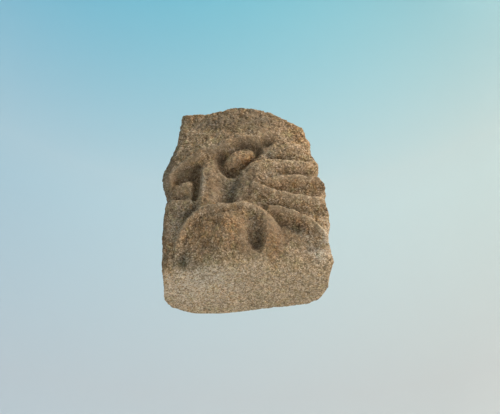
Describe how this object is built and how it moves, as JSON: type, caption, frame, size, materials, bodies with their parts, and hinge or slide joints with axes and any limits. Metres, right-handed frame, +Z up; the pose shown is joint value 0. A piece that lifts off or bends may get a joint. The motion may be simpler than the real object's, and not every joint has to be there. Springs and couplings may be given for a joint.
{
  "type": "stone corbel",
  "caption": "Sandstone corbel carved with a beast's face: deep-set eyes, wedge nose, wrinkled cheek and broad snout, worn and chipped, flat at the back where it was built in.",
  "frame": {"origin": "on the flat back, where the stone meets its wall, about midway between its sides and 104 mm above its underside", "axes": "+Z up, the carved face looks along -Y, +Y goes into the wall, +X to the right seen from in front"},
  "size_m": [0.1954, 0.1205, 0.2213],
  "materials": {
    "sandstone": "coarse weathered sandstone, matt, with dark and pale grains and grey dirt in the hollows"
  },
  "bodies": {
    "root": {"corbel": "sandstone"}
  },
  "joints": []
}
